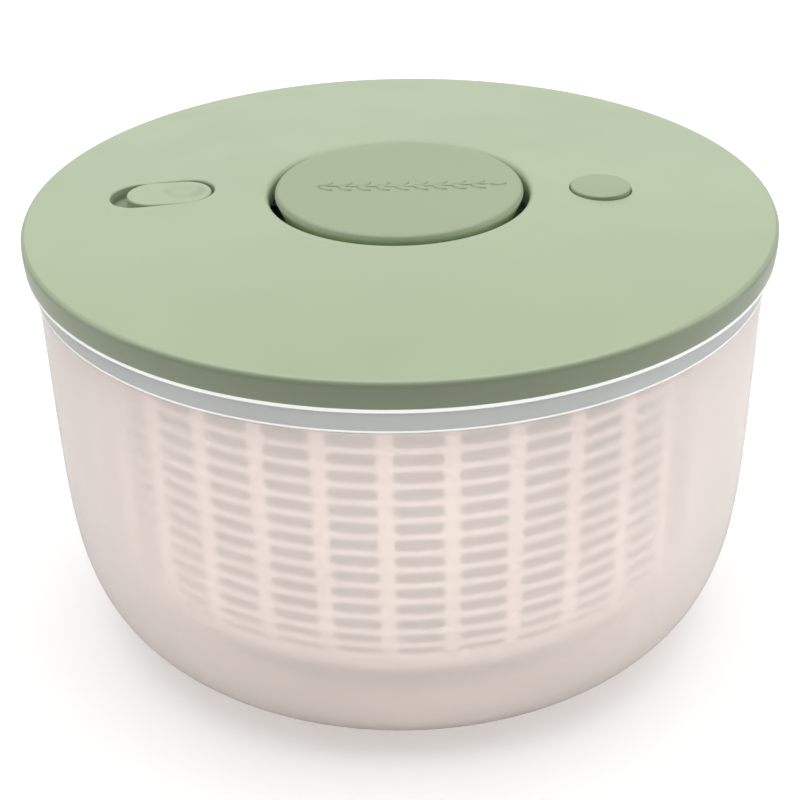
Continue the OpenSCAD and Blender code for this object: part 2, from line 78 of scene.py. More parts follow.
def make_camera():
    """The camera looks down at the lid from the front, a little to its right."""
    place = Vector((7.2, -503.2, 367.9)) * mm
    heading, pitch, roll = math.radians(0.94), math.radians(30.48), math.radians(-1.09)
    data = bpy.data.cameras.new("camera")
    data.lens = 68.1
    data.sensor_width = 36
    data.clip_start = 0.01
    data.clip_end = 20
    camera = bpy.data.objects.new("camera", data)
    turn = (
        Matrix.Rotation(heading, 4, "Z")
        @ Matrix.Rotation(math.pi / 2 - pitch, 4, "X")
        @ Matrix.Rotation(roll, 4, "Z")
    )
    camera.matrix_world = Matrix.Translation(place) @ turn
    bpy.context.scene.collection.objects.link(camera)
    bpy.context.scene.camera = camera


# ---------------------------------------------------------------- materials


# Sockets of a Mix node that mixes colours
MIX_FACTOR, MIX_FIRST, MIX_SECOND, MIX_RESULT = 0, 6, 7, 2


class Nodes:
    """A short way to add and join a material's nodes."""

    def __init__(self, name):
        self.material = bpy.data.materials.new(name)
        self.material.use_nodes = True
        self.tree = self.material.node_tree
        self.shader = self.tree.nodes["Principled BSDF"]
        self.place = self.add("ShaderNodeTexCoord").outputs["Object"]

    def add(self, kind, **settings):
        """A new node with its settings."""
        node = self.tree.nodes.new(kind)
        for key, value in settings.items():
            setattr(node, key, value)
        return node

    def join(self, output, node, socket):
        """Links an output to a node's socket."""
        self.tree.links.new(output, node.inputs[socket])

    def noise(self, size, detail=2.0, roughness=0.5, stretch=None):
        """Noise whose features are about size metres across."""
        node = self.add("ShaderNodeTexNoise")
        node.inputs["Scale"].default_value = 1 / size
        node.inputs["Detail"].default_value = detail
        node.inputs["Roughness"].default_value = roughness
        place = self.place
        if stretch:
            scale = self.add("ShaderNodeMapping")
            scale.inputs["Scale"].default_value = stretch
            self.join(place, scale, "Vector")
            place = scale.outputs["Vector"]
        self.join(place, node, "Vector")
        return node.outputs["Fac"]

    def spread(self, value, low, high, start=0.3, end=0.7):
        """The value's range from start to end, carried to low to high."""
        node = self.add("ShaderNodeMapRange")
        node.inputs["From Min"].default_value = start
        node.inputs["From Max"].default_value = end
        node.inputs["To Min"].default_value = low
        node.inputs["To Max"].default_value = high
        self.join(value, node, "Value")
        return node.outputs["Result"]

    def blend_colours(self, factor, first, second):
        """A colour between two others, each a tuple or an output."""
        node = self.add("ShaderNodeMix", data_type="RGBA")
        for socket, colour in ((MIX_FIRST, first), (MIX_SECOND, second)):
            if isinstance(colour, bpy.types.NodeSocket):
                self.join(colour, node, socket)
            else:
                node.inputs[socket].default_value = (*colour, 1)
        self.join(factor, node, MIX_FACTOR)
        return node.outputs[MIX_RESULT]

    def paint_shading_below(self, colour, low_z, high_z, factor):
        """Painted light and shade by height: the colour, multiplied by the factor below low_z,
        itself above high_z, in metres.
        """
        split = self.add("ShaderNodeSeparateXYZ")
        self.join(self.place, split, "Vector")
        amount = self.spread(split.outputs["Z"], 1, 0, low_z, high_z)
        node = self.add("ShaderNodeMix", data_type="RGBA", blend_type="MULTIPLY")
        self.join(colour, node, MIX_FIRST)
        node.inputs[MIX_SECOND].default_value = (factor, factor, factor, 1)
        self.join(amount, node, MIX_FACTOR)
        return node.outputs[MIX_RESULT]

    def let_lamps_through(self, tint):
        """Lamps light what is behind the surface: their rays pass it, tinted."""
        clear = self.add("ShaderNodeBsdfTransparent")
        clear.inputs["Color"].default_value = (*tint, 1)
        mix = self.add("ShaderNodeMixShader")
        self.join(self.add("ShaderNodeLightPath").outputs["Is Shadow Ray"], mix, 0)
        self.join(self.shader.outputs["BSDF"], mix, 1)
        self.join(clear.outputs["BSDF"], mix, 2)
        self.join(mix.outputs["Shader"], self.tree.nodes["Material Output"], "Surface")

    def bump(self, height, depth, strength=1.0, under=None):
        """A normal bumped by the height, depth metres deep, on top of the normal under it."""
        node = self.add("ShaderNodeBump")
        node.inputs["Strength"].default_value = strength
        node.inputs["Distance"].default_value = depth
        self.join(height, node, "Height")
        if under:
            self.join(under, node, "Normal")
        return node.outputs["Normal"]


def shade(colour, factor):
    """The colour made lighter or darker."""
    return tuple(min(1.0, c * factor) for c in colour)


def moulded_plastic(
    name, colour, rough, grain=0.35 * mm, grain_depth=0.012 * mm, drift=0.05, edge_wear_and_highlight=0.06,
    painted_shading=None,
):
    """Satin moulded plastic: fine grain, slow colour drift, sharp edges lighter as handling wear
    and a painted highlight, and optional painted light and shade below a height.
    """
    n = Nodes(name)
    drifted = n.blend_colours(
        n.spread(n.noise(60 * mm), 0, 1), shade(colour, 1 - drift / 2), shade(colour, 1 + drift / 2)
    )
    speckled = n.blend_colours(
        n.spread(n.noise(0.9 * mm, 3), 0, 0.25), drifted, shade(colour, 1 - drift)
    )
    # Sharp convex edges turn lighter: handling wear, and a painted highlight where light would
    # catch them.
    edge = n.spread(n.add("ShaderNodeNewGeometry").outputs["Pointiness"], 0, 1, 0.52, 0.6)
    edge_amount = n.add("ShaderNodeMath", operation="MULTIPLY")
    edge_amount.inputs[1].default_value = edge_wear_and_highlight * 5
    n.join(edge, edge_amount, 0)
    worn_and_painted_light = n.blend_colours(edge_amount.outputs[0], speckled, shade(colour, 1 + edge_wear_and_highlight * 3))
    # Below a height the colour is multiplied: painted shade for a factor under one, painted light
    # for a factor over one.
    if painted_shading:
        worn_and_painted_light = n.paint_shading_below(worn_and_painted_light, *painted_shading)
    n.join(worn_and_painted_light, n.shader, "Base Color")
    handled = n.spread(n.noise(25 * mm, 4), rough - 0.05, rough + 0.05)
    n.join(handled, n.shader, "Roughness")
    grained = n.bump(n.noise(grain, 2), grain_depth)
    n.join(n.bump(n.noise(18 * mm), 0.02 * mm, 0.5, grained), n.shader, "Normal")
    n.shader.inputs["IOR"].default_value = 1.5
    return n.material


def clear_plastic(name, colour, rough, clearness, ior, ripple=0.02 * mm):
    """Translucent plastic: partly clear, partly milky, with slight ripples and a fine frost."""
    n = Nodes(name)
    drifted = n.blend_colours(
        n.spread(n.noise(70 * mm, 3), 0, 1), shade(colour, 0.975), shade(colour, 1.02)
    )
    n.join(drifted, n.shader, "Base Color")
    n.join(n.spread(n.noise(30 * mm, 4), rough - 0.015, rough + 0.035), n.shader, "Roughness")
    frost = n.bump(n.noise(0.5 * mm, 3), 0.01 * mm)
    flow = n.noise(22 * mm, 2, 0.5, (1, 1, 0.35))
    n.join(n.bump(flow, ripple, 0.6, frost), n.shader, "Normal")
    n.shader.inputs["Transmission Weight"].default_value = clearness
    n.shader.inputs["IOR"].default_value = ior
    n.let_lamps_through(shade(colour, clearness))
    return n.material


def soft_rubber(name, colour):
    """Matt rubber, mottled and finely pebbled."""
    n = Nodes(name)
    mottled = n.blend_colours(
        n.spread(n.noise(4 * mm, 5), 0, 1), shade(colour, 0.88), shade(colour, 1.1)
    )
    n.join(mottled, n.shader, "Base Color")
    n.join(n.spread(n.noise(6 * mm, 3), 0.62, 0.8), n.shader, "Roughness")
    n.join(n.bump(n.noise(0.6 * mm, 4), 0.03 * mm), n.shader, "Normal")
    n.shader.inputs["Specular IOR Level"].default_value = 0.35
    return n.material


def drawn_steel(name, dark=(0.47, 0.48, 0.49), light=(0.62, 0.63, 0.64)):
    """Steel with fine upright streaks between a dark and a light grey."""
    n = Nodes(name)
    streaks = n.noise(1.2 * mm, 4, 0.6, (1, 1, 0.06))
    n.join(n.blend_colours(n.spread(streaks, 0, 1), dark, light), n.shader, "Base Color")
    n.join(n.spread(streaks, 0.22, 0.38), n.shader, "Roughness")
    n.join(n.bump(streaks, 0.008 * mm), n.shader, "Normal")
    n.shader.inputs["Metallic"].default_value = 1.0
    return n.material


SAGE = (0.42, 0.50, 0.33)
SAGE_KNOB = (0.35, 0.42, 0.27)
looks = {
    # The cover's side band, below the crown's edge, is painted 0.68 times as dark as the crown:
    # painted shade.
    "sage_cover": moulded_plastic(
        "sage_cover", SAGE, 0.36, edge_wear_and_highlight=0.03, painted_shading=(0.1541, 0.1551, 0.68)
    ),
    "sage_slider": moulded_plastic("sage_slider", SAGE, 0.42),
    "sage_knob": moulded_plastic("sage_knob", SAGE_KNOB, 0.5, drift=0.04),
    # The knob's side below its edge is painted 2.3 times as light as its face: painted light in
    # place of the light the narrow gap keeps from it.
    "sage_knob_cap_painted_light": moulded_plastic(
        "sage_knob_cap_painted_light", SAGE_KNOB, 0.5, drift=0.04, painted_shading=(0.158, 0.1597, 2.3)
    ),
    "frosted_bowl": clear_plastic("frosted_bowl", (0.95, 0.895, 0.865), 0.31, 0.68, 1.13),
    "basket_plastic": moulded_plastic("basket_plastic", (0.93, 0.89, 0.87), 0.4, drift=0.03),
    "clear_plastic": clear_plastic("clear_plastic", (0.65, 0.67, 0.66), 0.35, 0.4, 1.3),
    # A near-white copy of the clear plastic: a painted highlight for the skirt's edges.
    "clear_edge_painted_highlight": clear_plastic("clear_edge_painted_highlight", (0.97, 0.985, 0.96), 0.2, 0.1, 1.4),
    # A near-black copy of the clear plastic: painted shade for the deep gap round the knob.
    "clear_plastic_painted_shade": clear_plastic("clear_plastic_painted_shade", (0.05, 0.052, 0.05), 0.3, 0.3, 1.3),
    "inner_plastic": moulded_plastic("inner_plastic", (0.50, 0.53, 0.50), 0.45),
    "bearing_plastic": moulded_plastic("bearing_plastic", (0.82, 0.80, 0.75), 0.35, drift=0.03),
    "soft_rubber": soft_rubber("soft_rubber", (0.42, 0.40, 0.38)),
    # Darker than the soft rubber: partly a dark grip ring, partly painted shade for the dark band
    # seen through the bowl's foot.
    "grip_rubber_and_painted_shade": soft_rubber("grip_rubber_and_painted_shade", (0.12, 0.09, 0.08)),
    "steel": drawn_steel("steel"),
    # Near-black steel: painted shade, so the lock tongue reads as the dark gap round the knob.
    "steel_painted_shade": drawn_steel("steel_painted_shade", (0.03, 0.03, 0.035), (0.05, 0.05, 0.055)),
}


def finish_with(piece, slot, look=None):
    """Gives a piece the look given, and without one the look named by the record's slot."""
    piece.data.materials.clear()
    piece.data.materials.append(looks[look or slot])


# ---------------------------------------------------------------- mesh helpers


WELD = 0.002 * mm
# Outlines that meet the axis stop this far from it, in millimetres, and are welded to a point
AXIS_R = 0.001


def object_from(bm, name, sharp=35):
    """Welds a bmesh into a smooth-shaded object that keeps edges sharper than the angle."""
    bmesh.ops.remove_doubles(bm, verts=bm.verts, dist=WELD)
    bmesh.ops.recalc_face_normals(bm, faces=bm.faces)
    mesh = bpy.data.meshes.new(name)
    bm.to_mesh(mesh)
    bm.free()
    mesh.shade_smooth()
    mesh.set_sharp_from_angle(angle=math.radians(sharp))
    piece = bpy.data.objects.new(name, mesh)
    bpy.context.scene.collection.objects.link(piece)
    return piece


def arc(x, z, radius, first, last, steps=8):
    """Points on an arc about (x, z), angles in degrees."""
    angles = [math.radians(first + (last - first) * i / steps) for i in range(steps + 1)]
    return [(x + radius * math.cos(a), z + radius * math.sin(a)) for a in angles]


def rounded(corners, steps=5):
    """An outline whose corners (x, z, radius) are rounded."""
    outline = []
    for i, (x, z, radius) in enumerate(corners):
        if not radius:
            outline.append((x, z))
            continue
        corner = Vector((x, z))
        back = (Vector(corners[i - 1][:2]) - corner).normalized()
        ahead = (Vector(corners[(i + 1) % len(corners)][:2]) - corner).normalized()
        half = back.angle(ahead) / 2
        centre = corner + (back + ahead).normalized() * (radius / math.sin(half))
        start = corner + back * (radius / math.tan(half)) - centre
        end = corner + ahead * (radius / math.tan(half)) - centre
        first = math.atan2(start.y, start.x)
        turn = math.remainder(math.atan2(end.y, end.x) - first, 2 * math.pi)
        outline += [
            (
                centre.x + radius * math.cos(first + turn * k / steps),
                centre.y + radius * math.sin(first + turn * k / steps),
            )
            for k in range(steps + 1)
        ]
    return outline


def rings_of(bm, outline, turns):
    """Rings of vertices at (radius, height) points in millimetres, one vertex for each turn."""
    return [
        [bm.verts.new((r * math.cos(t) * mm, r * math.sin(t) * mm, z * mm)) for t in turns]
        for r, z in outline
    ]


def lathe(name, outline, around=240, closed=True):
    """Turns an outline of (radius, height) points in millimetres about the Z axis."""
    bm = bmesh.new()
    turns = [2 * math.pi * i / around for i in range(around)]
    rings = rings_of(bm, outline, turns)
    pairs = list(zip(rings, rings[1:]))
    if closed:
        pairs.append((rings[-1], rings[0]))
    for low, high in pairs:
        bridge(bm, low, high)
    return object_from(bm, name)


def bridge(bm, first, second):
    """Faces between two closed loops with as many points."""
    count = len(first)
    for i in range(count):
        k = (i + 1) % count
        bm.faces.new((first[i], first[k], second[k], second[i]))


def loop_at(bm, points, height):
    """A closed loop of vertices at height(x, y) in millimetres."""
    return [bm.verts.new((x * mm, y * mm, height(x, y) * mm)) for x, y in points]


def circle_points(radius, count, x=0.0, y=0.0):
    """Points round a circle about (x, y)."""
    turns = [2 * math.pi * i / count for i in range(count)]
    return [(x + radius * math.cos(t), y + radius * math.sin(t)) for t in turns]


class Stadium:
    """An outline with straight sides and round ends, placed and turned in the plane."""

    def __init__(self, x, y, turn, length, width):
        self.centre = Vector((x, y))
        self.along = Vector((math.cos(turn), math.sin(turn)))
        self.across = Vector((-self.along.y, self.along.x))
        self.half = (length - width) / 2
        self.radius = width / 2

    def local(self, x, y):
        """Distances along and across the outline from its middle."""
        away = Vector((x, y)) - self.centre
        return away.dot(self.along), away.dot(self.across)

    def outside(self, x, y):
        """Distance outside the outline, negative inside."""
        a, b = self.local(x, y)
        return math.hypot(max(abs(a) - self.half, 0), b) - self.radius

    def points(self, grow=0.0, ends=28, sides=10):
        """The outline grown outward, with as many steps round each end and along each side."""
        radius = self.radius + grow
        shape = []
        for side in (1, -1):
            shape += [
                (side * (self.half + radius * math.cos(t)), side * radius * math.sin(t))
                for t in [math.pi * (i / ends - 0.5) for i in range(ends + 1)]
            ]
            shape += [
                (side * self.half * (1 - 2 * i / sides), side * radius) for i in range(1, sides)
            ]
        return [tuple(self.centre + self.along * a + self.across * b) for a, b in shape]


class Disc:
    """A round outline with the same calls as Stadium."""

    def __init__(self, x, y, radius):
        self.x, self.y, self.radius = x, y, radius

    def outside(self, x, y):
        """Distance outside the outline, negative inside."""
        return math.hypot(x - self.x, y - self.y) - self.radius

    def points(self, grow=0.0, count=72):
        """The outline grown outward."""
        return circle_points(self.radius + grow, count, self.x, self.y)


def patch(bm, loops, keep, height, grid=None):
    """A triangulated sheet through closed loops of points, with a grid of points between them.

    keep(x, y) says whether a triangle with that centre stays; height(x, y) lifts each point.
    """
    points, edges = [], []
    for loop in loops:
        base = len(points)
        points += [Vector(p) for p in loop]
        edges += [(base + i, base + (i + 1) % len(loop)) for i in range(len(loop))]
    points += [Vector(p) for p in grid or []]
    flat, _, faces, *_ = delaunay_2d_cdt(points, edges, [], 0, 1e-7)
    verts = {}
    for face in faces:
        x = sum(flat[i].x for i in face) / 3
        y = sum(flat[i].y for i in face) / 3
        if not keep(x, y):
            continue
        for i in face:
            if i not in verts:
                p = flat[i]
                verts[i] = bm.verts.new((p.x * mm, p.y * mm, height(p.x, p.y) * mm))
        bm.faces.new([verts[i] for i in face])


def hex_grid(reach, pitch, allowed):
    """Points of a triangular grid within reach of the middle where allowed(x, y)."""
    rows = int(reach / (pitch * 0.866)) + 1
    columns = int(reach / pitch) + 1
    found = []
    for j in range(-rows, rows + 1):
        for i in range(-columns, columns + 1):
            x = (i + 0.5 * (j % 2)) * pitch
            y = j * pitch * 0.866
            if allowed(x, y):
                found.append((x, y))
    return found


# ---------------------------------------------------------------- sizes in mm, some from the frame and some given


def low(node):
    """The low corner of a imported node's box."""
    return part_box(node)[0] / mm


def high(node):
    """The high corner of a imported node's box."""
    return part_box(node)[1] / mm


def middle(node):
    """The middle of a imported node's box."""
    return (low(node) + high(node)) / 2


LID_R = high("lid_cover").x
SKIRT_Z = low("lid_base").z
FLANGE_Z = high("lid_seal").z
BAND_Z = FLANGE_Z + 1
PLATE_Z = FLANGE_Z + 2
LID_EDGE_Z = BAND_Z + 9
DOME = 4.0
CREASE_R = LID_R - 0.7
BOWL_R = high("bowl").x
RIM_Z = high("bowl").z
FOOT_Z = low("bowl").z
KNOB_R = high("knob_cap").x
KNOB_EDGE = 1.8
KNOB_LEAN = 23
KNOB_DISH = 0.7
KNOB_DISH_R = KNOB_R - 4
SPRIG_RISE = 0.55
SPRIG_ROOT = 0.03
# Low enough for the sprig's end leaf, which stands in the dish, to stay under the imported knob
KNOB_TOP_Z = high("knob_cap").z - SPRIG_RISE + 0.07
BUTTON = middle("brake_button")
BUTTON_R = high("brake_button").x - BUTTON.x
THROAT_R = 46.5
TRAY_Z = 152.6
SLOT_TURN = math.radians(6.75)
SLOT = Stadium(-85.0, 1.8, SLOT_TURN, length=37.3, width=21.4)
# Steps from a lip's foot to its outer edge, closer where the lip is steeper
LIP_STEPS = (0, 0.03, 0.12, 0.26, 0.45, 0.7, 1.0)


def dome_z(x, y=0.0):
    """Height of the lid's crown."""
    return LID_EDGE_Z + DOME * (1 - (x * x + y * y) / CREASE_R**2)


def lip_drop(distance, radius):
    """How far a rounded lip has dropped at a distance from the wall below it."""
    if distance >= radius:
        return 0.0
    return radius - math.sqrt(max(radius**2 - (radius - distance) ** 2, 0))


def side_curve(low_r, high_r, low_z, high_z, steps=60):
    """The bowl's side: flat at the bottom, a full corner, then almost upright."""
    corner_power, side_power = 2.5, 6.5
    turns = [math.pi / 2 * i / steps for i in range(steps + 1)]
    return [
        (
            low_r + (high_r - low_r) * math.sin(t) ** (2 / corner_power),
            low_z + (high_z - low_z) * (1 - max(math.cos(t), 0) ** (2 / side_power)),
        )
        for t in turns
    ]


# ---------------------------------------------------------------- pieces


def make_bowl():
    """The frosted bowl: a stepped rim, a seat for the grip ring and a boss for the pivot pin."""
    wall = 2.8
    base_r = 90.0
    shoulder_z = SKIRT_Z - 0.5
    rim_r, rim_in_r = BOWL_R - 1.4, BOWL_R - wall
    floor_z = FOOT_Z + wall
    grip_in, grip_out = -low("base_grip_ring").x - 10, high("base_grip_ring").x
    grip_top = high("base_grip_ring").z
    pin_r = high("bowl_pivot_pin").x
    pin_foot, boss_top = 5.0, 13.0
    outline = [(AXIS_R, FOOT_Z), (grip_in, FOOT_Z), (grip_in, grip_top)]
    outline += [(grip_out, grip_top), (grip_out, FOOT_Z)]
    outline += side_curve(base_r, BOWL_R, FOOT_Z, shoulder_z)[1:-1]
    outline += rounded(
        [
            (BOWL_R, shoulder_z - 8, 0),
            (BOWL_R, shoulder_z, 0.5),
            (rim_r, shoulder_z, 0.3),
            (rim_r, RIM_Z, 0.55),
            (rim_in_r, RIM_Z, 0.55),
            (rim_in_r, RIM_Z - 4, 0),
        ]
    )[1:-1]
    outline += reversed(side_curve(base_r - wall, rim_in_r, floor_z, shoulder_z)[:-1])
    outline += [(16, floor_z), (11.5, floor_z + 1.4), (10, floor_z + 4), (9, boss_top)]
    outline += [(pin_r, boss_top), (pin_r, pin_foot), (AXIS_R, pin_foot)]
    bowl = lathe("bowl_shell", outline, around=288, closed=False)
    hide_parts("bowl")
    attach(bowl, "bowl_body")
    finish_with(bowl, "frosted_bowl")


def make_lid_cover():
    """The coloured cover: a crown with soft-lipped openings, the side band, and its underside."""
    bm = bmesh.new()
    around = 360
    lip = 2.2
    slot_lip, hole_lip = 0.8, 0.5
    wall = 2.2
    lip_r = THROAT_R + lip
    edge = 1.5
    edge_r = CREASE_R + 0.35 - edge
    # Triangles along an opening's rounded outline have their middles less than this inside it
    sliver = 0.012
    crown_pitch, crown_margin = 4.0, 2.4
    under_pitch, under_margin = 8.0, 3
    hole = Disc(BUTTON.x, BUTTON.y, BUTTON_R + 0.3)

    def crown(x, y):
        """Height of the crown with the soft lips of its openings."""
        drop = lip_drop(SLOT.outside(x, y), slot_lip) + lip_drop(hole.outside(x, y), hole_lip)
        return dome_z(x, y) - drop

    def on_crown(x, y):
        clear = SLOT.outside(x, y) > -sliver and hole.outside(x, y) > -sliver
        return lip_r < math.hypot(x, y) < edge_r and clear

    def off_loops(x, y):
        clear = SLOT.outside(x, y) > crown_margin and hole.outside(x, y) > crown_margin
        return lip_r + 2 < math.hypot(x, y) < edge_r - 2 and clear

    loops = [circle_points(lip_r, around), circle_points(edge_r, around)]
    loops += [SLOT.points(slot_lip * s) for s in LIP_STEPS] + [SLOT.points(slot_lip + 0.8)]
    loops += [hole.points(hole_lip * s) for s in LIP_STEPS] + [hole.points(hole_lip + 0.8)]
    patch(bm, loops, on_crown, crown, hex_grid(edge_r, crown_pitch, off_loops))

    def turned(outline):
        """Loops of the lathe-like stretches, from (radius, height) points."""
        loops = [loop_at(bm, circle_points(r, around), lambda x, y, z=z: z) for r, z in outline]
        for first, second in zip(loops, loops[1:]):
            bridge(bm, first, second)

    lip_z = dome_z(lip_r)
    band_h, bulge, widest = 7.4, 0.015, BAND_Z + 4.5
    band = [
        (LID_R - bulge * (BAND_Z + band_h * i / 10 - widest) ** 2, BAND_Z + band_h * i / 10)
        for i in range(10, 0, -1)
    ]
    corner = [(edge_r, dome_z(edge_r))]
    corner += arc(edge_r, dome_z(edge_r) - edge, edge, 84, 4, 12)
    band_in_r = LID_R - 2.4
    under_r = band_in_r - 1
    low_edge = rounded(
        [
            (LID_R - 0.1, BAND_Z + 1, 0),
            (LID_R - 0.3, BAND_Z, 0.25),
            (band_in_r, BAND_Z, 0.2),
            (band_in_r, BAND_Z + 1, 0),
        ]
    )[1:-1]
    inner_edge = [(band_in_r, BAND_Z + 5), (under_r, dome_z(under_r) - wall)]
    turned(corner + band[:-1] + low_edge + inner_edge)
    throat_low = PLATE_Z + 0.6
    throat = [(lip_r, lip_z - wall), (lip_r, throat_low), (THROAT_R, throat_low)]
    turned(throat + arc(lip_r, lip_z - lip, lip, 180, 90, 10))

    tray_wall, tube_wall = 1.6, 1.5
    tray_low, tube_low = TRAY_Z - tray_wall, PLATE_Z + 2

    def under(x, y):
        return dome_z(x, y) - wall

    def on_under(x, y):
        clear = SLOT.outside(x, y) > tray_wall and hole.outside(x, y) > tube_wall
        return lip_r < math.hypot(x, y) < under_r and clear

    def off_under(x, y):
        off_tray = SLOT.outside(x, y) > tray_wall + under_margin
        off_tube = hole.outside(x, y) > tube_wall + under_margin
        off_ends = lip_r + under_margin < math.hypot(x, y) < under_r - under_margin
        return off_tray and off_tube and off_ends

    loops = [circle_points(lip_r, around), circle_points(under_r, around)]
    loops += [SLOT.points(tray_wall), hole.points(tube_wall)]
    patch(bm, loops, on_under, under, hex_grid(band_in_r, under_pitch, off_under))

    def stack(outline, levels):
        """Bridged copies of an outline, each (grow, height or height function)."""
        made = []
        for grow, level in levels:
            height = level if callable(level) else lambda x, y, z=level: z
            made.append(loop_at(bm, outline.points(grow), height))
        for first, second in zip(made, made[1:]):
            bridge(bm, first, second)
        return made[-1]

    fillet = 0.8
    slopes = [math.radians(a) for a in range(0, 91, 15)]
    scoop = [
        (-fillet + fillet * math.cos(a), TRAY_Z + fillet - fillet * math.sin(a)) for a in slopes
    ]
    bm.faces.new(stack(SLOT, [(0, crown)] + scoop))
    bm.faces.new(stack(SLOT, [(tray_wall, under), (tray_wall, tray_low)]))
    stack(hole, [(0, crown), (0, tube_low), (tube_wall, tube_low), (tube_wall, under)])
    cover = object_from(bm, "cover_shell", sharp=40)
    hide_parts("lid_cover")
    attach(cover, "lid")
    # The band below the crown's edge carries painted shade, darker than the crown.
    finish_with(cover, "sage_cover")


def make_lid_base():
    """The clear skirt, its edges painted near-white as a highlight, and the plate that carries the
    pump.
    """
    skirt_in, skirt_out = BOWL_R - 0.8, BOWL_R + 0.9
    flange_r = LID_R - 0.3
    plate_in = 40.3
    rib_z, seat_z = SKIRT_Z + 0.9, FLANGE_Z - 0.4

    def band_outline(in_r, out_r, low_z, high_z, radii):
        """A four-cornered outline, from its inner low corner round, with each corner's radius."""
        corners = ((in_r, low_z), (out_r, low_z), (out_r, high_z), (in_r, high_z))
        return rounded([(*corner, radius) for corner, radius in zip(corners, radii)], steps=4)

    skirt = band_outline(skirt_in, skirt_out, rib_z, seat_z, (0.1, 0.1, 0.1, 0.1))
    flange = band_outline(skirt_in, flange_r, seat_z, BAND_Z, (0.1, 0.4, 0.2, 0.1))
    foot = band_outline(skirt_in, skirt_out, SKIRT_Z, rib_z, (0.35, 0.4, 0.1, 0.1))
    disc = band_outline(plate_in, skirt_in - 0.1, FLANGE_Z, PLATE_Z, (0.2, 0.2, 0.2, 0.2))
    base = lathe("lid_base_shell", skirt, around=288)
    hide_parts("lid_base")
    # The flange and foot are a near-white copy of the skirt's plastic: a painted highlight along
    # its edges.
    edges = [lathe("lid_base_flange", flange, around=288), lathe("lid_base_foot", foot, around=288)]
    for piece, look in [(base, "clear_plastic"), *((e, "clear_edge_painted_highlight") for e in edges)]:
        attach(piece, "lid")
        finish_with(piece, "clear_plastic", look)
    # The plate is a near-black copy of the skirt's plastic: painted shade in the gap round the
    # knob.
    plate = lathe("lid_base_plate", disc, around=288)
    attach(plate, "lid")
    finish_with(plate, "clear_plastic", "clear_plastic_painted_shade")


def knob_face_z(x, y):
    """Height of the knob's face, a shallow dish."""
    return KNOB_TOP_Z - KNOB_DISH * (1 - (x * x + y * y) / KNOB_DISH_R**2)


def knob_side_r(z):
    """Radius of the knob's side, a cone that leans in below the round edge."""
    lean = math.radians(KNOB_LEAN)
    depth = KNOB_TOP_Z - KNOB_EDGE - z
    return KNOB_R - KNOB_EDGE + KNOB_EDGE / math.cos(lean) - depth * math.tan(lean)


def make_knob():
    """The knob's cap: a shallow dish, a soft edge and sides that draw in below it."""
    wall, slant = 2.2, 1.5
    low_z = PLATE_Z + 1.7
    skin_z = KNOB_TOP_Z - KNOB_DISH - wall - 0.4
    radii = [max(KNOB_DISH_R * i / 20, AXIS_R) for i in range(21)]
    outline = [(r, knob_face_z(r, 0)) for r in radii]
    outline += arc(KNOB_R - KNOB_EDGE, KNOB_TOP_Z - KNOB_EDGE, KNOB_EDGE, 90, -KNOB_LEAN, 16)
    outline += [(knob_side_r(low_z), low_z), (knob_side_r(low_z) - wall, low_z)]
    outline += [(knob_side_r(skin_z - slant) - wall, skin_z - slant)]
    outline += [(knob_side_r(skin_z) - wall - slant, skin_z), (AXIS_R, skin_z)]
    cap = lathe("knob_cap_shell", outline, around=240, closed=False)
    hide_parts("knob_cap")
    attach(cap, "knob")
    # The cap's side below its edge carries painted light.
    finish_with(cap, "sage_knob", "sage_knob_cap_painted_light")


def leaf(bm, x, y, turn, length, width, base, height, steps=14):
    """A low leaf with pointed ends, flat on top with steep rounded flanks."""
    across = (-1, -0.9, -0.7, -0.35, 0, 0.35, 0.7, 0.9, 1)
    rows = []
    for i in range(steps + 1):
        s = i / steps
        half = width / 2 * math.sin(math.pi * s) ** 0.8 if 0 < s < 1 else 0.02
        row = []
        for j in across:
            a, b = (s - 0.5) * length, half * j
            rise = height * (1 - j**4) * min(1, 4 * math.sin(math.pi * s))
            px = x + a * math.cos(turn) - b * math.sin(turn)
            py = y + a * math.sin(turn) + b * math.cos(turn)
            row.append(bm.verts.new((px * mm, py * mm, (base(px, py) + rise) * mm)))
        rows.append(row)
    for first, second in zip(rows, rows[1:]):
        for j in range(len(across) - 1):
            bm.faces.new((first[j], second[j], second[j + 1], first[j + 1]))


def make_knob_sprig():
    """A plain moulded sprig of leaves, in low relief across the knob."""

    def base(x, y):
        return knob_face_z(x, y) - SPRIG_ROOT

    bm = bmesh.new()
    stem_y, leaf_l, leaf_w = 0.6, 6.4, 2.9
    pairs, pitch, splay = 9, 6.8, math.radians(32)
    for i in range(pairs):
        x = -28 + pitch * i
        for side in (1, -1):
            leaf(bm, x + 1.9, stem_y + 2.0 * side, side * splay, leaf_l, leaf_w, base, SPRIG_RISE)
    leaf(bm, 1.5, stem_y, 0, 66, 1.1, base, SPRIG_RISE * 0.7, steps=60)
    leaf(bm, 35.5, stem_y, 0, leaf_l, leaf_w, base, SPRIG_RISE)
    bmesh.ops.holes_fill(bm, edges=bm.edges, sides=0)
    sprig = object_from(bm, "knob_sprig", sharp=60)
    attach(sprig, "knob")
    finish_with(sprig, "sage_knob")


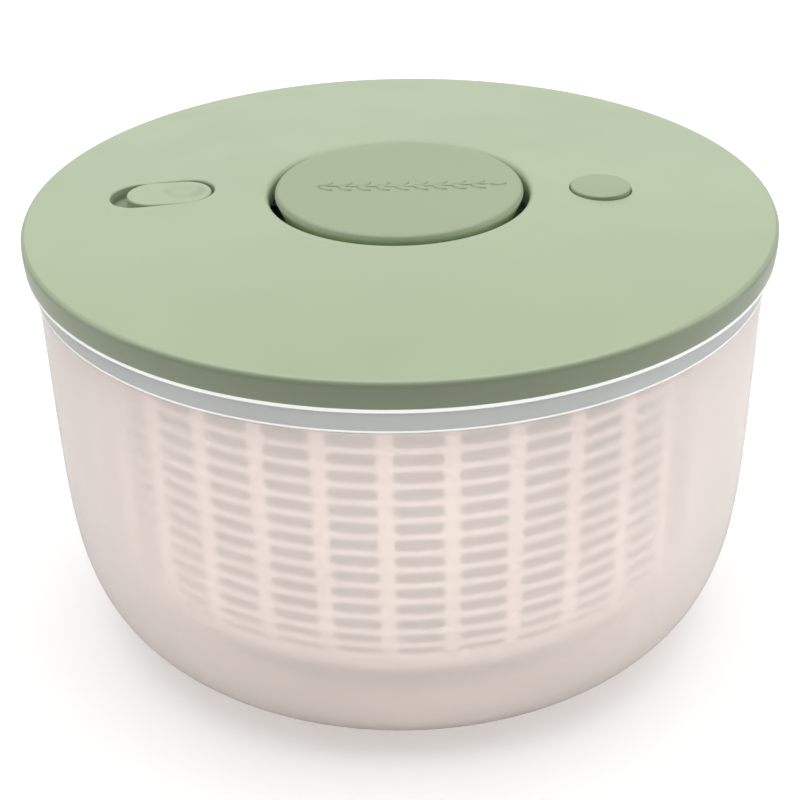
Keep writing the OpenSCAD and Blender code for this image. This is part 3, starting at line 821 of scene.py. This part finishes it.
def make_slider():
    """The lock slider: an oval block with a finger dish in its inner half."""
    top_z = high("lock_slider").z
    low_z = TRAY_Z + 0.3
    body = middle("lock_slider")
    block = Stadium(body.x, body.y, SLOT_TURN, length=30.4, width=20.2)
    edge, sliver = 0.7, 0.0005
    dish_x, dish_l, dish_w, depth = 5.4, 8.0, 6.3, 2.3

    def height(x, y):
        """Height of the block's top, with its dish and its rounded edge."""
        a, b = block.local(x, y)
        spot = ((a - dish_x) / dish_l) ** 2 + (b / dish_w) ** 2
        sink = depth * (1 - spot) ** 1.15 if spot < 1 else 0
        return top_z - sink - lip_drop(-block.outside(x, y), edge)

    def off_edge(x, y):
        return block.outside(x + body.x, y + body.y) < -edge - 0.4

    bm = bmesh.new()
    loops = [block.points(-edge * s) for s in LIP_STEPS]
    grid = [(x + block.centre.x, y + block.centre.y) for x, y in hex_grid(16, 0.7, off_edge)]
    patch(bm, loops, lambda x, y: block.outside(x, y) < -sliver, height, grid)
    wall = [loop_at(bm, block.points(0), height), loop_at(bm, block.points(0), lambda x, y: low_z)]
    bridge(bm, *wall)
    bm.faces.new(wall[1])
    slider = object_from(bm, "slider_shell", sharp=50)
    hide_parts("lock_slider")
    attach(slider, "lock")
    finish_with(slider, "sage_knob", "sage_slider")


def make_button():
    """The brake button: a slightly crowned cap, hollow below."""
    top_z, low_z = high("brake_button").z, low("brake_button").z
    rise, edge = 0.25, 0.6
    inner_r, skin_z = BUTTON_R - 1.6, top_z - 1.8
    crown_r = BUTTON_R * 0.93
    outline = [(max(crown_r * i / 10, AXIS_R), top_z - rise * (i / 10) ** 2) for i in range(11)]
    outline += arc(BUTTON_R - edge, top_z - rise - 0.62, edge, 80, 0, 8)
    outline += [(BUTTON_R, low_z), (inner_r, low_z), (inner_r, skin_z), (AXIS_R, skin_z)]
    button = lathe("button_shell", outline, around=120, closed=False)
    button.data.transform(Matrix.Translation(Vector((BUTTON.x, BUTTON.y, 0)) * mm))
    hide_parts("brake_button")
    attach(button, "brake")
    finish_with(button, "sage_knob")


def make_basket():
    """The slotted basket: upright ribs with short rounded bars between them."""
    ribs, rows, pitch = 36, 14, 6.3
    slot_h, rib_w, first_row = 3.8, 5.0, 126.2
    rib_phase = math.radians(-2)
    top_z = high("basket").z
    base_z, wall, corner_r = 17.0, 2.0, 40.0
    outer_r = 119.0
    corner_x, corner_z = outer_r - corner_r, base_z + corner_r

    def radius_at(z):
        """Radius of the basket's wall, which turns in at the bottom."""
        drop = corner_z - z
        return outer_r if drop <= 0 else corner_x + math.sqrt(max(corner_r**2 - drop**2, 0))

    # The floor is slotted from the second ring to the third, the fourth to the fifth, and so on
    floor_radii = (11, 22, 35, 40, 53, 58, 71, corner_x)
    inner_floor_ring, slotted_floor_rings = 1, (1, 3, 5)
    path = [(r, base_z) for r in floor_radii]
    path += arc(corner_x, corner_z, corner_r, -78, -34, 5)
    heights = []
    for row in range(rows - 1, -1, -1):
        centre = first_row - row * pitch
        heights += [centre - slot_h / 2, centre + slot_h / 2]
    heights = [z for z in heights if z > path[-1][1] + 0.8]
    path += [(radius_at(z), z) for z in heights]
    path += [(outer_r, z) for z in (first_row + pitch, top_z - 2)]
    first_slot_ring = len(path) - 2 - len(heights)

    rib_turn = rib_w / outer_r / 2
    column = 2 * math.pi / ribs
    marks = [-rib_turn, 0, rib_turn]
    marks += [rib_turn + (column - 2 * rib_turn) * k / 5 for k in range(1, 5)]
    first_slot_mark, floor_slot_marks = 2, (3, 4)
    turns = [rib_phase + column * i + m for i in range(ribs) for m in marks]
    bm = bmesh.new()
    rings = rings_of(bm, path, turns)
    per = len(marks)
    for j, (lower, upper) in enumerate(zip(rings, rings[1:])):
        slotted = first_slot_ring <= j < first_slot_ring + len(heights) - 1
        open_row = slotted and (j - first_slot_ring) % 2 == 0
        floor_row = j in slotted_floor_rings
        every = 3 if j == inner_floor_ring else 2
        for i in range(len(turns)):
            in_slot = i % per >= first_slot_mark
            in_floor_slot = i // per % every == 0 and i % per in floor_slot_marks
            if (open_row and in_slot) or (floor_row and in_floor_slot):
                continue
            k = (i + 1) % len(turns)
            bm.faces.new((lower[i], lower[k], upper[k], upper[i]))
    basket = object_from(bm, "basket_body", sharp=180)
    thick = basket.modifiers.new("thickness", "SOLIDIFY")
    thick.thickness = wall * mm
    thick.offset = -1
    soft = basket.modifiers.new("soft_edges", "SUBSURF")
    soft.levels = soft.render_levels = 1
    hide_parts("basket")
    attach(basket, "spinning_basket")
    finish_with(basket, "basket_plastic")


def make_basket_trim():
    """The basket's rim flange and the hub under its floor."""
    rim_r, top_z = high("basket").x, high("basket").z
    rim_in, flange_low, rim_low = 116.8, top_z - 2.2, top_z - 3.4
    rim_outline = rounded(
        [
            (rim_in, rim_low, 0.5),
            (119.3, rim_low, 0.4),
            (119.6, flange_low, 0.3),
            (rim_r, flange_low, 0.5),
            (rim_r, top_z, 0.7),
            (rim_in, top_z, 0.7),
        ]
    )
    rim = lathe("basket_rim", rim_outline, around=288)
    cup_r = high("basket_pivot_cup").x + 0.06
    hub_low, cup_top, hub_top = low("basket").z, 22.8, 25.5
    neck_r, collar_r = 8.5, 14
    hub_outline = rounded(
        [
            (AXIS_R, cup_top, 0),
            (cup_r, cup_top, 0),
            (cup_r, hub_low, 0.2),
            (neck_r, hub_low, 0.4),
            (neck_r, 16.6, 0.8),
            (collar_r, 16.8, 0.6),
            (collar_r, 19.2, 0.8),
            (9, 19.8, 1.5),
            (neck_r, hub_top, 1.2),
            (AXIS_R, hub_top, 0),
        ]
    )
    hub = lathe("basket_hub", hub_outline, around=96, closed=False)
    for piece in (rim, hub):
        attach(piece, "spinning_basket")
        finish_with(piece, "basket_plastic")


def make_spring(node, wire_r, turns):
    """A wound wire filling the box of the imported node that it replaces."""
    around, sides = 36, 10
    foot, head = low(node), high(node)
    centre = (foot.x + head.x) / 2
    mean_r = (head.x - foot.x) / 2 - wire_r
    steps = turns * around
    rise = (head.z - foot.z - 2 * wire_r) / steps
    bm = bmesh.new()
    rings = []
    for i in range(steps + 1):
        turn = 2 * math.pi * i / around
        x_unit, y_unit = math.cos(turn), math.sin(turn)
        ring = []
        for j in range(sides):
            tilt = 2 * math.pi * j / sides
            r = (mean_r + wire_r * math.cos(tilt)) * mm
            z = foot.z + wire_r + i * rise + wire_r * math.sin(tilt)
            ring.append(bm.verts.new((centre * mm + r * x_unit, r * y_unit, z * mm)))
        rings.append(ring)
    for first, second in zip(rings, rings[1:]):
        bridge(bm, first, second)
    bm.faces.new(rings[0])
    bm.faces.new(rings[-1])
    spring = object_from(bm, node + "_wire")
    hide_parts(node)
    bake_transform(spring)
    finish_with(spring, "steel")


def dress_cad_nodes():
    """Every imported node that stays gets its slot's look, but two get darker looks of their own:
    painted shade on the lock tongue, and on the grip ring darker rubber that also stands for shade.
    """
    slots = {s["node"]: s["material_slot"] for s in frame["record"]["subparts"]}
    # The grip ring's darker rubber is partly painted shade.
    slots["base_grip_ring"] = "grip_rubber_and_painted_shade"
    # The lock tongue is painted near black: painted shade in the gap round the knob.
    slots["lock_tongue"] = "steel_painted_shade"
    for name, node in nodes.items():
        node.data.materials.clear()
        node.data.materials.append(looks[slots[name]])


# ---------------------------------------------------------------- floor and lights


def make_floor():
    """A pale floor that reaches past the picture and looks almost white to the camera."""
    half_width, gap = 6, 0.0002
    bm = bmesh.new()
    bmesh.ops.create_grid(bm, x_segments=2, y_segments=2, size=half_width)
    mesh = bpy.data.meshes.new("floor")
    bm.to_mesh(mesh)
    bm.free()
    floor = bpy.data.objects.new("floor", mesh)
    floor.location.z = cad_box[0].z - gap
    bpy.context.scene.collection.objects.link(floor)
    n = Nodes("floor")
    clouded = n.blend_colours(
        n.spread(n.noise(400 * mm), 0, 1), (0.87, 0.87, 0.865), (0.89, 0.89, 0.885)
    )
    n.join(clouded, n.shader, "Base Color")
    n.shader.inputs["Emission Color"].default_value = (0.3, 0.3, 0.298, 1)
    seen = n.add("ShaderNodeLightPath").outputs["Is Camera Ray"]
    n.join(n.spread(seen, 0.4, 1, 0, 1), n.shader, "Emission Strength")
    n.shader.inputs["Roughness"].default_value = 0.9
    n.shader.inputs["Specular IOR Level"].default_value = 0.1
    mesh.materials.append(n.material)


def soft_light(name, place, aim, size, power, colour=(1, 1, 1), only=None):
    """A soft box aimed at a point; with only, it is flagged to light just those pieces."""
    data = bpy.data.lights.new(name, "AREA")
    data.shape = "RECTANGLE"
    data.size, data.size_y = size
    data.energy = power
    data.color = colour
    lamp = bpy.data.objects.new(name, data)
    lamp.location = place
    lamp.rotation_euler = (Vector(aim) - Vector(place)).to_track_quat("-Z", "Y").to_euler()
    bpy.context.scene.collection.objects.link(lamp)
    if only:
        lit = bpy.data.collections.new(name + "_lit")
        for piece in only:
            lit.objects.link(bpy.data.objects[piece])
        lamp.light_linking.receiver_collection = lit


def make_lights():
    """Soft boxes above, behind and beside the spinner, and one in front for its clear pieces."""
    middle_z = (cad_box[0].z + cad_box[1].z) / 2
    aim = (0, 0, middle_z)
    cool, warm = (0.93, 0.97, 1), (1, 0.985, 0.97)
    clear = ["bowl_shell", "basket_body", "lid_base_shell", "lid_base_flange", "lid_base_foot"]
    soft_light("top_light", (0, 0.15, 1.9), aim, (2.6, 2.0), 43)
    soft_light("back_light", (0, 2.4, 1.0), aim, (2.6, 1.2), 8)
    soft_light("left_light", (-1.5, 0.1, 0.45), aim, (0.8, 0.9), 2.8, cool)
    soft_light("right_light", (1.5, 0.1, 0.45), aim, (0.8, 0.9), 4.5, cool)
    soft_light("front_fill", (0, -1.6, 1.2), aim, (2.2, 1.0), 22.5, warm, only=clear)
    world = bpy.data.worlds.new("studio")
    world.use_nodes = True
    sky = world.node_tree.nodes["Background"]
    sky.inputs["Color"].default_value = (1, 1, 1, 1)
    sky.inputs["Strength"].default_value = 0.14
    bpy.context.scene.world = world
    bpy.context.scene.view_settings.view_transform = "Standard"


make_camera()
make_bowl()
make_lid_base()
make_lid_cover()
make_knob()
make_knob_sprig()
make_slider()
make_button()
make_basket()
make_basket_trim()
make_spring("return_spring", wire_r=0.7, turns=8)
make_spring("brake_spring", wire_r=0.5, turns=4)
dress_cad_nodes()
make_floor()
make_lights()
